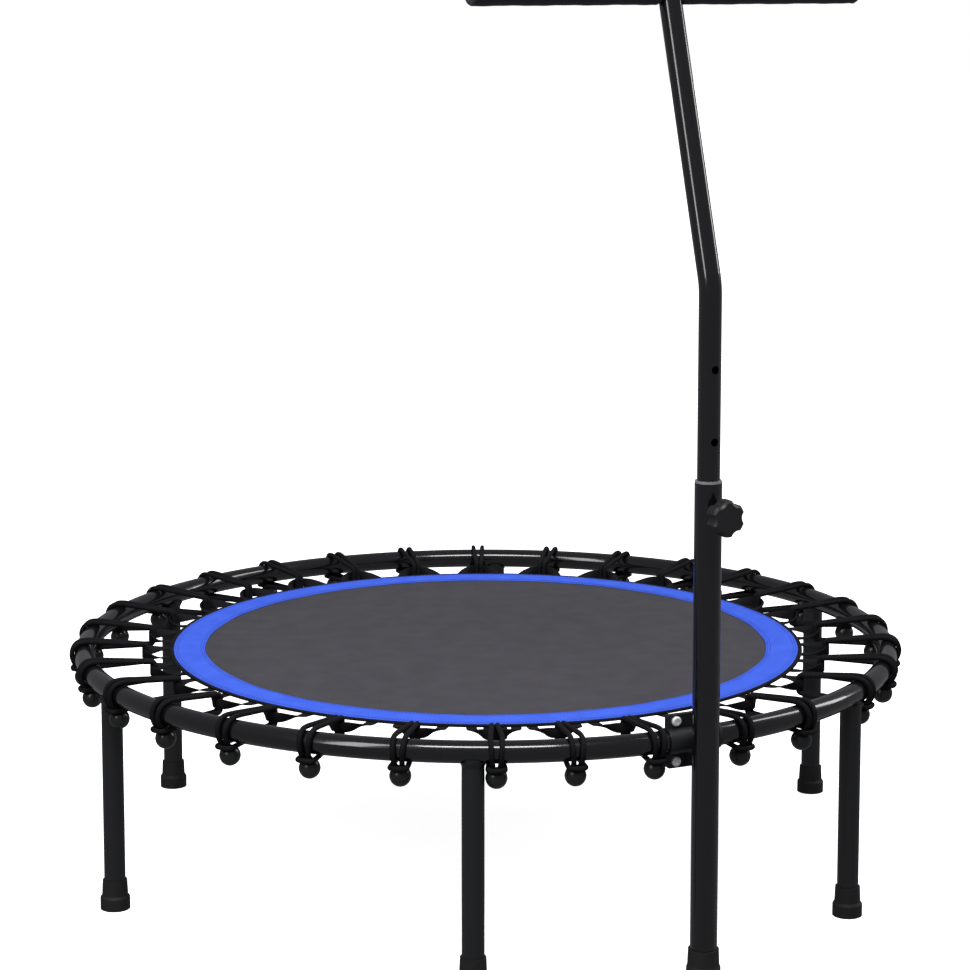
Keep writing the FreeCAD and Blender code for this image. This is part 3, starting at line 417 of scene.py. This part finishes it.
loop_azimuths = {number: ball_azimuths(number) for number in GROUPS}
all_azimuths = [azimuth for group in loop_azimuths.values() for azimuth in group]
print(len(all_azimuths), "loops, the first group at", [round(a, 2) for a in loop_azimuths[1]])

# %% [markdown]
# The jumping mat is a taut disc of woven cloth. Its rim is pressed a little thinner where the band is
# sewn over it. It is a polar grid, which keeps its faces even and its edge truly round.

# %% Jumping mat
mat_low, mat_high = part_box("jumping_mat")
band_low, band_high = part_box("edge_band")
MAT_RADIUS = (mat_high.x - mat_low.x) / 2
BAND_OUTER = (band_high.x - band_low.x) / 2
BAND_WIDTH = 0.040
BAND_INNER = BAND_OUTER - BAND_WIDTH
ROUND_STEPS = 240


def circle(radius, height):
    """Points round the ring's axis at a height."""
    points = []
    for step in range(ROUND_STEPS):
        angle = 360 * step / ROUND_STEPS
        points.append(ring_point(angle, radius, 0, height))
    return points


def turned_rings(name, profile, wave=None):
    """A closed hoop whose section is a list of (radius, height, share of the wave)."""
    columns = []
    for step in range(ROUND_STEPS):
        angle = 360 * step / ROUND_STEPS
        shift = wave(math.radians(angle)) if wave else 0
        columns.append([ring_point(angle, radius + shift * share, 0, height)
                        for radius, height, share in profile])
    return swept(name, columns, True)


def disc(name, radii_top, radii_under):
    """A closed disc from radii and heights, above and below."""
    build = bmesh.new()
    top = [[build.verts.new(point) for point in circle(r, z)] for r, z in radii_top]
    under = [[build.verts.new(point) for point in circle(r, z)] for r, z in radii_under]
    rows = top + under[::-1]
    for first, second in zip(rows, rows[1:]):
        for step in range(ROUND_STEPS):
            turn = (step + 1) % ROUND_STEPS
            build.faces.new((first[step], first[turn], second[turn], second[step])).smooth = True
    for ring, height in ((top[0], radii_top[0][1]), (under[0], radii_under[0][1])):
        middle = build.verts.new(Vector((RING_X, RING_Y, height)))
        for step in range(ROUND_STEPS):
            build.faces.new((middle, ring[step], ring[(step + 1) % ROUND_STEPS])).smooth = True
    bmesh.ops.recalc_face_normals(build, faces=build.faces)
    shape = bpy.data.meshes.new(name)
    build.to_mesh(shape)
    build.free()
    return shape


RIM_PRESSED = 0.0003
flat_radii = [0.02, 0.08, 0.16, 0.24, 0.30, BAND_INNER - 0.0006]
rim_radii = [BAND_INNER - 0.0002, 0.37, MAT_RADIUS - 0.0005]
top_rows = [(r, mat_high.z) for r in flat_radii] + [(r, mat_high.z - RIM_PRESSED) for r in rim_radii]
under_rows = [(r, mat_low.z) for r in flat_radii + rim_radii]
mat = add_piece("jumping_mat_cloth", disc("jumping_mat_cloth", top_rows, under_rows), mat_weave)
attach(mat, "mat")
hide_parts("jumping_mat")
print("mat radius %.4f" % MAT_RADIUS)

# %% [markdown]
# The band is a folded strip, so it is a little fuller in its middle than at its edges. Its inner edge
# is not a perfect circle, because a straight strip is eased round a curve as it is sewn. The hem
# outside it is the mat's own edge, rolled and bound.

# %% Edge band and hem
def eased(angle):
    """How far the band's inner edge wanders, in metres."""
    return 0.0005 * math.sin(9 * angle) + 0.0003 * math.sin(23 * angle + 1.3)


rim_top = mat_high.z - RIM_PRESSED
band_top = band_high.z
BAND_SECTION = [(0.0, 0.15, 1), (0.0006, 0.75, 1), (0.003, 0.95, 1), (0.012, 1.0, 0.4), (0.028, 1.0, 0),
                (0.037, 0.95, 0), (0.0394, 0.75, 0), (0.040, 0.15, 0), (0.039, 0.0, 0), (0.001, 0.0, 1)]
band_profile = [(BAND_INNER + out, rim_top + (band_top - rim_top) * rise, share)
                for out, rise, share in BAND_SECTION]
band = add_piece("edge_band_cloth", turned_rings("edge_band_cloth", band_profile, eased), band_weave)
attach(band, "mat")
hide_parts("edge_band")

HEM_SECTION = [(-0.0052, 0.0002), (-0.0030, 0.0010), (-0.0010, 0.0008), (0.0, -0.0006), (-0.0008, -0.0022),
               (-0.0030, -0.0026), (-0.0052, -0.0018)]
hem_profile = [(MAT_RADIUS + out, mat_high.z + rise, 0) for out, rise in HEM_SECTION]
hem = add_piece("mat_hem", turned_rings("mat_hem", hem_profile), webbing_weave)
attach(hem, "mat")
print("band from %.4f to %.4f" % (BAND_INNER, BAND_OUTER))

# %% [markdown]
# Stitches repeat hundreds of times, which is what Geometry Nodes are for. One tree sets a short bead
# on a circle at each pitch. Its radius, height, pitch and bead size are named inputs, and it ends in
# Realize Instances and Set Material, so the result is a plain mesh.

# %% Stitch tree
def stitch_tree():
    """Beads laid end to end round a circle."""
    tree = bpy.data.node_groups.new("stitch_row", "GeometryNodeTree")
    sockets = {}
    for label in ("Radius", "Height", "Pitch", "Bead Length", "Bead Width"):
        sockets[label] = tree.interface.new_socket(label, in_out="INPUT", socket_type="NodeSocketFloat")
    sockets["Thread"] = tree.interface.new_socket("Thread", in_out="INPUT", socket_type="NodeSocketMaterial")
    tree.interface.new_socket("Geometry", in_out="OUTPUT", socket_type="NodeSocketGeometry")
    given = tree.nodes.new("NodeGroupInput")
    result = tree.nodes.new("NodeGroupOutput")
    path = tree.nodes.new("GeometryNodeCurvePrimitiveCircle")
    path.inputs["Resolution"].default_value = 240
    points = add_node(tree, "GeometryNodeCurveToPoints", mode="LENGTH")
    bead = tree.nodes.new("GeometryNodeMeshUVSphere")
    bead.inputs["Segments"].default_value = 6
    bead.inputs["Rings"].default_value = 4
    bead.inputs["Radius"].default_value = 0.5
    size = tree.nodes.new("ShaderNodeCombineXYZ")
    lay = tree.nodes.new("GeometryNodeInstanceOnPoints")
    place = tree.nodes.new("ShaderNodeCombineXYZ")
    place.inputs["X"].default_value = RING_X
    place.inputs["Y"].default_value = RING_Y
    move = tree.nodes.new("GeometryNodeTransform")
    real = tree.nodes.new("GeometryNodeRealizeInstances")
    paint = tree.nodes.new("GeometryNodeSetMaterial")
    join = tree.links.new
    join(given.outputs["Radius"], path.inputs["Radius"])
    join(path.outputs["Curve"], points.inputs["Curve"])
    join(given.outputs["Pitch"], points.inputs["Length"])
    join(points.outputs["Points"], lay.inputs["Points"])
    join(points.outputs["Rotation"], lay.inputs["Rotation"])
    join(bead.outputs["Mesh"], lay.inputs["Instance"])
    join(given.outputs["Bead Width"], size.inputs["X"])
    join(given.outputs["Bead Width"], size.inputs["Y"])
    join(given.outputs["Bead Length"], size.inputs["Z"])
    join(size.outputs["Vector"], lay.inputs["Scale"])
    join(given.outputs["Height"], place.inputs["Z"])
    join(lay.outputs["Instances"], move.inputs["Geometry"])
    join(place.outputs["Vector"], move.inputs["Translation"])
    join(move.outputs["Geometry"], real.inputs["Geometry"])
    join(real.outputs["Geometry"], paint.inputs["Geometry"])
    join(given.outputs["Thread"], paint.inputs["Material"])
    join(paint.outputs["Geometry"], result.inputs["Geometry"])
    return tree, {label: socket.identifier for label, socket in sockets.items()}


def made_by_nodes(name, start_mesh, tree, values):
    """Run a node tree on a mesh and return the plain mesh it makes."""
    carrier = bpy.data.objects.new(name + "_carrier", start_mesh)
    bpy.context.scene.collection.objects.link(carrier)
    modifier = carrier.modifiers.new("nodes", "NODES")
    modifier.node_group = tree
    for identifier, value in values.items():
        modifier[identifier] = value
    bpy.context.view_layer.update()
    shape = bpy.data.meshes.new_from_object(carrier.evaluated_get(bpy.context.evaluated_depsgraph_get()))
    shape.name = name
    carrier.modifiers.clear()
    bpy.data.objects.remove(carrier)
    return shape


STITCH_ROWS = {"inner": BAND_INNER + 0.0030, "inner_second": BAND_INNER + 0.0060,
               "outer_second": BAND_OUTER - 0.0060, "outer": BAND_OUTER - 0.0030}
stitches, stitch_inputs = stitch_tree()
for row, radius in STITCH_ROWS.items():
    values = {"Radius": radius, "Height": band_top - 0.00005, "Pitch": 0.0042, "Bead Length": 0.0032,
              "Bead Width": 0.0007, "Thread": navy_thread}
    shape = made_by_nodes("stitch_row_" + row, bpy.data.meshes.new("start"), stitches,
                          {stitch_inputs[label]: value for label, value in values.items()})
    piece = add_piece("stitch_row_" + row, shape, navy_thread)
    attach(piece, "mat")
    print(row, "row:", len(shape.polygons), "faces")

# %% [markdown]
# Each webbing loop is one strap. It is sewn flat under the mat's edge at both ends, and it turns on
# edge at its tip, where the elastic cord passes. One loop is lofted through stations that carry a
# place and a share of that quarter turn.

# %% One webbing loop
def through(stations, steps):
    """Points on a smooth line through the stations, which may hold any number of values."""
    rows = []
    padded = [stations[0]] + stations + [stations[-1]]
    for index in range(1, len(padded) - 2):
        for step in range(steps):
            t = step / steps
            row = []
            for a, b, c, d in zip(*padded[index - 1:index + 3]):
                row.append(0.5 * (2 * b + (c - a) * t + (2 * a - 5 * b + 4 * c - d) * t ** 2
                                  + (3 * b - a - 3 * c + d) * t ** 3))
            rows.append(row)
    rows.append(list(stations[-1]))
    return rows


WEBBING_HALF_WIDTH = 0.006
WEBBING_HALF_THICK = 0.00075
STRAP_HALF = [(-0.1335, 0.0250, -0.00225, 0.0), (-0.1035, 0.0250, -0.00225, 0.0),
              (-0.0930, 0.0232, -0.0021, 0.12), (-0.0820, 0.0175, -0.0017, 0.5),
              (-0.0745, 0.0105, -0.0012, 0.9), (-0.0712, 0.0040, -0.0010, 1.0)]
STRAP_MIDDLE = (-0.0707, 0.0, -0.0010, 1.0)
strap_other_half = [(o, -a, h, t) for o, a, h, t in STRAP_HALF[::-1]]
strap_stations = STRAP_HALF + [STRAP_MIDDLE] + strap_other_half
strap_rows = through([list(station) for station in strap_stations], 4)
centres = [Vector((a, -(RING_RADIUS + o), RING_Z + h)) for o, a, h, t in strap_rows]
strap_rings = []
for index, (centre, (o, a, h, t)) in enumerate(zip(centres, strap_rows)):
    ahead = (centres[min(index + 1, len(centres) - 1)] - centres[max(index - 1, 0)]).normalized()
    side = 1 if index < len(centres) / 2 else -1
    flat = ahead.cross(UP).normalized() * side
    if flat.x * a < 0:
        flat = -flat
    width = (flat * math.cos(t * math.pi / 2) + UP * math.sin(t * math.pi / 2)).normalized()
    face = ahead.cross(width).normalized()
    section = [(-1, -0.5), (-0.94, -1), (0.94, -1), (1, -0.5), (1, 0.5), (0.94, 1), (-0.94, 1), (-1, 0.5)]
    strap_rings.append([centre + width * (WEBBING_HALF_WIDTH * w) + face * (WEBBING_HALF_THICK * f)
                        for w, f in section])
strap = swept("webbing_strap", strap_rings, False)
print("one strap:", len(strap.polygons), "faces")

# %% [markdown]
# Straps and balls stand at the same thirty angles. A small tree reads a mesh of marks, finds each
# mark's angle from its place, and sets one copy there, turned to face outwards.

# %% Repeating round the ring
def repeat_tree():
    """Copies of an object at the angles of the marks."""
    tree = bpy.data.node_groups.new("repeat_round", "GeometryNodeTree")
    marks = tree.interface.new_socket("Marks", in_out="INPUT", socket_type="NodeSocketGeometry")
    pattern = tree.interface.new_socket("Pattern", in_out="INPUT", socket_type="NodeSocketObject")
    cover = tree.interface.new_socket("Finish", in_out="INPUT", socket_type="NodeSocketMaterial")
    tree.interface.new_socket("Geometry", in_out="OUTPUT", socket_type="NodeSocketGeometry")
    given = tree.nodes.new("NodeGroupInput")
    result = tree.nodes.new("NodeGroupOutput")
    spot = tree.nodes.new("GeometryNodeInputPosition")
    parts = tree.nodes.new("ShaderNodeSeparateXYZ")
    flip = add_node(tree, "ShaderNodeMath", operation="MULTIPLY")
    flip.inputs[1].default_value = -1
    angle = add_node(tree, "ShaderNodeMath", operation="ARCTAN2")
    turn = tree.nodes.new("ShaderNodeCombineXYZ")
    info = tree.nodes.new("GeometryNodeObjectInfo")
    lay = tree.nodes.new("GeometryNodeInstanceOnPoints")
    gather = tree.nodes.new("GeometryNodeSetPosition")
    real = tree.nodes.new("GeometryNodeRealizeInstances")
    paint = tree.nodes.new("GeometryNodeSetMaterial")
    middle = tree.nodes.new("ShaderNodeCombineXYZ")
    middle.inputs["X"].default_value = RING_X
    middle.inputs["Y"].default_value = RING_Y
    join = tree.links.new
    join(middle.outputs["Vector"], gather.inputs["Position"])
    join(spot.outputs["Position"], parts.inputs["Vector"])
    join(parts.outputs["Y"], flip.inputs[0])
    join(parts.outputs["X"], angle.inputs[0])
    join(flip.outputs[0], angle.inputs[1])
    join(angle.outputs[0], turn.inputs["Z"])
    join(given.outputs["Pattern"], info.inputs["Object"])
    join(info.outputs["Geometry"], lay.inputs["Instance"])
    join(given.outputs["Marks"], lay.inputs["Points"])
    join(turn.outputs["Vector"], lay.inputs["Rotation"])
    join(lay.outputs["Instances"], gather.inputs["Geometry"])
    join(gather.outputs["Geometry"], real.inputs["Geometry"])
    join(real.outputs["Geometry"], paint.inputs["Geometry"])
    join(given.outputs["Finish"], paint.inputs["Material"])
    join(paint.outputs["Geometry"], result.inputs["Geometry"])
    return tree, pattern.identifier, cover.identifier


round_tree, pattern_input, finish_input = repeat_tree()


def repeated(name, pattern_mesh, azimuths, material, body):
    """One piece made of copies of a mesh at several angles round the ring."""
    marks = bpy.data.meshes.new(name + "_marks")
    places = [(math.sin(math.radians(a)), -math.cos(math.radians(a)), 0) for a in azimuths]
    marks.from_pydata(places, [], [])
    pattern = bpy.data.objects.new(name + "_pattern", pattern_mesh)
    bpy.context.scene.collection.objects.link(pattern)
    shape = made_by_nodes(name, marks, round_tree, {pattern_input: pattern, finish_input: material})
    bpy.data.objects.remove(pattern)
    piece = add_piece(name, shape, material)
    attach(piece, body)
    print(name, len(shape.polygons), "faces")
    return piece


straps = repeated("webbing_straps", strap, all_azimuths, webbing_weave, "mat")
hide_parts("webbing_loops")

# %% [markdown]
# A stop ball is moulded in two halves, so a fine line runs round its middle. It is a lathe shape with
# a shallow mouth at the top, where the two ends of the cord go in.

# %% Stop balls
BALL_RADIUS = 0.012
BALL_OUT = 0.001
BALL_DROP = 0.0284
LATHE_SIDES = 28
MOUTH_ANGLE = 62
PARTING = 0.00018


def ball_shape():
    """A moulded ball with a parting line and a shallow mouth."""
    centre = Vector((0, -(RING_RADIUS + BALL_OUT), RING_Z - BALL_DROP))
    profile = [(0.0001, -BALL_RADIUS)]
    for step in range(-84, MOUTH_ANGLE + 1, 6):
        radius = BALL_RADIUS + (PARTING if step == 0 else 0)
        angle = math.radians(step)
        profile.append((radius * math.cos(angle), radius * math.sin(angle)))
    profile += [(profile[-1][0] * 0.93, profile[-1][1] - 0.0004), (0.0001, profile[-1][1] - 0.0012)]
    rings = []
    for radius, height in profile:
        ring = []
        for side in range(LATHE_SIDES):
            angle = 2 * math.pi * side / LATHE_SIDES
            ring.append(centre + Vector((radius * math.cos(angle), radius * math.sin(angle), height)))
        rings.append(ring)
    return swept("stop_ball", rings, False)


balls = repeated("stop_ball_set", ball_shape(), all_azimuths, ball_black, "frame")
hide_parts(*["stop_balls_%d" % number for number in GROUPS])

# %% [markdown]
# An elastic loop leaves its ball as two strands, goes over the tube, through the webbing and back
# under the tube, and hooks round the ball's neck. Its line is one smooth spline. The points that
# guide it round the tube stand a little outside the line itself, because a spline cuts its corners.

# %% The line of an elastic loop
CORD_RADIUS = 0.003
CORD_SIDES = 10
GUIDE_RADIUS = 0.0167


def over_tube(degrees, aside):
    """A guide point round the tube, at an angle above the level."""
    angle = math.radians(degrees)
    return (GUIDE_RADIUS * math.cos(angle), aside, GUIDE_RADIUS * math.sin(angle))


HALF_LINE = [
    (0.0020, 0.0031, -0.0200), (0.0086, 0.0039, -0.0154),
    over_tube(-35, 0.0046), over_tube(5, 0.0054), over_tube(45, 0.0061), over_tube(85, 0.0065),
    (-0.0300, 0.0052, 0.0136), (-0.0670, 0.0033, 0.0102), (-0.0752, 0.0031, 0.0094),
    (-0.0756, 0.0031, -0.0010), (-0.0752, 0.0031, -0.0114), (-0.0670, 0.0036, -0.0122),
    (-0.0300, 0.0062, -0.0144), (0.0060, 0.0094, -0.0168), (0.0150, 0.0090, -0.0172),
]


def spline_line(points, resolution):
    """Points along a smooth spline guided by the given points."""
    curve = bpy.data.curves.new("line", "CURVE")
    curve.dimensions = "3D"
    spline = curve.splines.new("NURBS")
    spline.points.add(len(points) - 1)
    for slot, point in zip(spline.points, points):
        slot.co = (*point, 1)
    spline.order_u = 3
    spline.use_endpoint_u = True
    spline.resolution_u = resolution
    holder = bpy.data.objects.new("line", curve)
    bpy.context.scene.collection.objects.link(holder)
    bpy.context.view_layer.update()
    shape = bpy.data.meshes.new_from_object(holder.evaluated_get(bpy.context.evaluated_depsgraph_get()))
    line = [corner.co.copy() for corner in shape.vertices]
    bpy.data.objects.remove(holder)
    return line


def tube_along(name, line, radius, sides):
    """A round tube along a line, with a frame carried on without twist."""
    tangents = []
    for index in range(len(line)):
        tangents.append((line[min(index + 1, len(line) - 1)] - line[max(index - 1, 0)]).normalized())
    normal = tangents[0].orthogonal().normalized()
    rings = []
    for centre, tangent in zip(line, tangents):
        normal = (normal - tangent * normal.dot(tangent)).normalized()
        other = tangent.cross(normal)
        rings.append([centre + (normal * math.cos(angle) + other * math.sin(angle)) * radius
                      for angle in [2 * math.pi * side / sides for side in range(sides)]])
    return swept(name, rings, False)


full_line = HALF_LINE + [(out, -aside, rise) for out, aside, rise in HALF_LINE[::-1]]
guides = [Vector((aside, -(RING_RADIUS + out), RING_Z + rise)) for out, aside, rise in full_line]
line = spline_line(guides, 9)
line_length = sum((b - a).length for a, b in zip(line, line[1:]))
cord_mesh = tube_along("elastic_cord", line, CORD_RADIUS, CORD_SIDES)
print("one loop is %.1f mm long with %d faces" % (line_length * 1000, len(cord_mesh.polygons)))

# %% [markdown]
# Each loop stretches as the mat goes down: its ring end stays and its far end follows the webbing. So
# each one is its own piece.

# %% The thirty elastic loops
for number, azimuths in loop_azimuths.items():
    for place, azimuth in enumerate(azimuths, 1):
        shape = cord_mesh.copy()
        turn = Matrix.Rotation(math.radians(azimuth), 4, "Z")
        shape.transform(Matrix.Translation((RING_X, RING_Y, 0)) @ turn)
        loop = add_piece("elastic_loop_%d_%d" % (number, place), shape, braid)
        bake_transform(loop)
        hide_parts("elastic_loops_%d" % number)
print(len(all_azimuths), "loops blended between the frame and the mat")

# %% [markdown]
# The grips are soft foam sleeves. Foam is cut, not moulded, so its surface swells and sinks a little,
# and its ends are rounded over. Each is turned about the crossbar, with the wall's inner edge against
# the bar.

# %% Foam grips
GRIP_SIDES = 56
BAR_RADIUS = 0.0125


def grip_shape(name, node):
    """A foam sleeve round the crossbar, closed over the bar's outer end."""
    low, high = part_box(node)
    axis_y = (low.y + high.y) / 2
    axis_z = (low.z + high.z) / 2
    full = (high.z - low.z) / 2
    side = 1 if low.x + high.x > 0 else -1
    inner, outer = sorted((low.x * side, high.x * side))
    profile = [(inner, BAR_RADIUS + 0.0002), (inner, full - 0.0030), (inner + 0.0008, full - 0.0012),
               (inner + 0.0028, full - 0.0002)]
    length = outer - inner
    for step in range(1, 40):
        along = inner + length * step / 40
        swell = 0.00022 * math.sin(along * 95 + side) + 0.00014 * math.sin(along * 260)
        profile.append((along, full - 0.0004 + swell))
    profile += [(outer - 0.0028, full - 0.0003), (outer - 0.0009, full - 0.0013), (outer, full - 0.0034),
                (outer, 0.0001)]
    rings = []
    for along, radius in profile:
        ring = []
        for step in range(GRIP_SIDES):
            angle = 2 * math.pi * step / GRIP_SIDES
            ring.append(Vector((along * side, axis_y + radius * math.cos(angle),
                                axis_z + radius * math.sin(angle))))
        rings.append(ring)
    return swept(name, rings, False)


for label in ("left", "right"):
    grip = add_piece("foam_grip_" + label, grip_shape("foam_grip_" + label, "grip_" + label), grip_foam)
    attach(grip, "handle")
    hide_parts("grip_" + label)
    print("grip", label, len(grip.data.polygons), "faces")

# %% [markdown]
# The scene is brought up to date at the end.

# %% Last update
bpy.context.view_layer.update()
